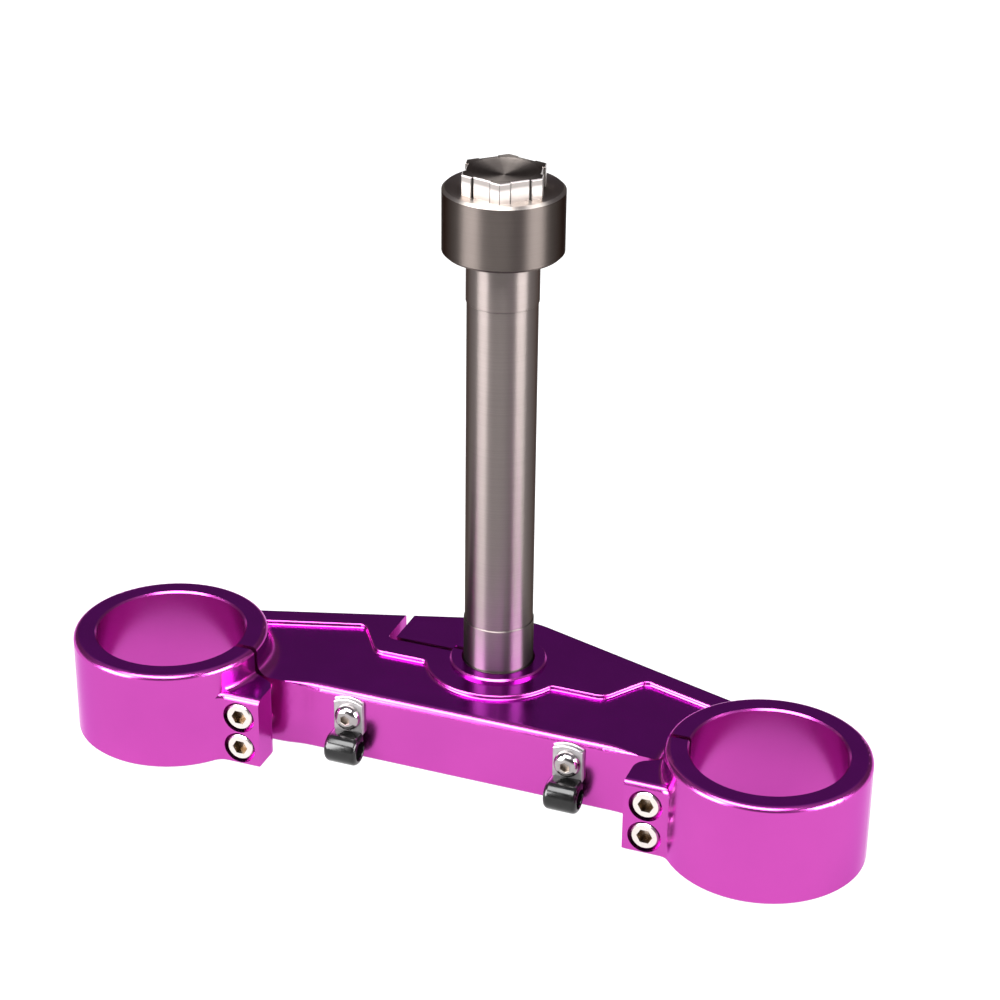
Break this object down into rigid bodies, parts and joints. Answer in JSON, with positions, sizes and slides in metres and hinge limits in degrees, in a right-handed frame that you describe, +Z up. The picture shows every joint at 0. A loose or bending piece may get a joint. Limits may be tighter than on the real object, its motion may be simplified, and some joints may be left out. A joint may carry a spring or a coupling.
{
  "type": "motorcycle triple clamp",
  "caption": "Machined lower fork clamp with split rings for both fork legs, a hollow steering stem with a dished hexagonal nut, pinch screws and rubber-lined hose clips",
  "frame": {"origin": "on the steering axis, level with the clamp's underside", "axes": "+X to the right as seen from the front, +Y to the back (away from the fork tubes), +Z up along the steering stem"},
  "size_m": [0.2958, 0.1052, 0.2159],
  "materials": {
    "anodised_clamp": "satin purple anodised",
    "stem_metal": "turned, satin grey",
    "nut_metal": "turned, satin",
    "pinch_screw_steel": "plain steel, satin",
    "clip_steel": "zinc plated",
    "clip_screw_steel": "polished",
    "clip_rubber": "smooth black"
  },
  "bodies": {
    "root": {"lower_clamp": "anodised_clamp", "steering_stem": "stem_metal", "stem_nut": "nut_metal", "left_pinch_screw_upper": "pinch_screw_steel", "left_pinch_screw_lower": "pinch_screw_steel", "right_pinch_screw_upper": "pinch_screw_steel", "right_pinch_screw_lower": "pinch_screw_steel", "stem_pinch_screw_upper": "pinch_screw_steel", "stem_pinch_screw_lower": "pinch_screw_steel", "left_hose_clip_band": "clip_steel", "left_hose_clip_cushion": "clip_rubber", "left_clip_screw": "clip_screw_steel", "right_hose_clip_band": "clip_steel", "right_hose_clip_cushion": "clip_rubber", "right_clip_screw": "clip_screw_steel"}
  },
  "joints": []
}
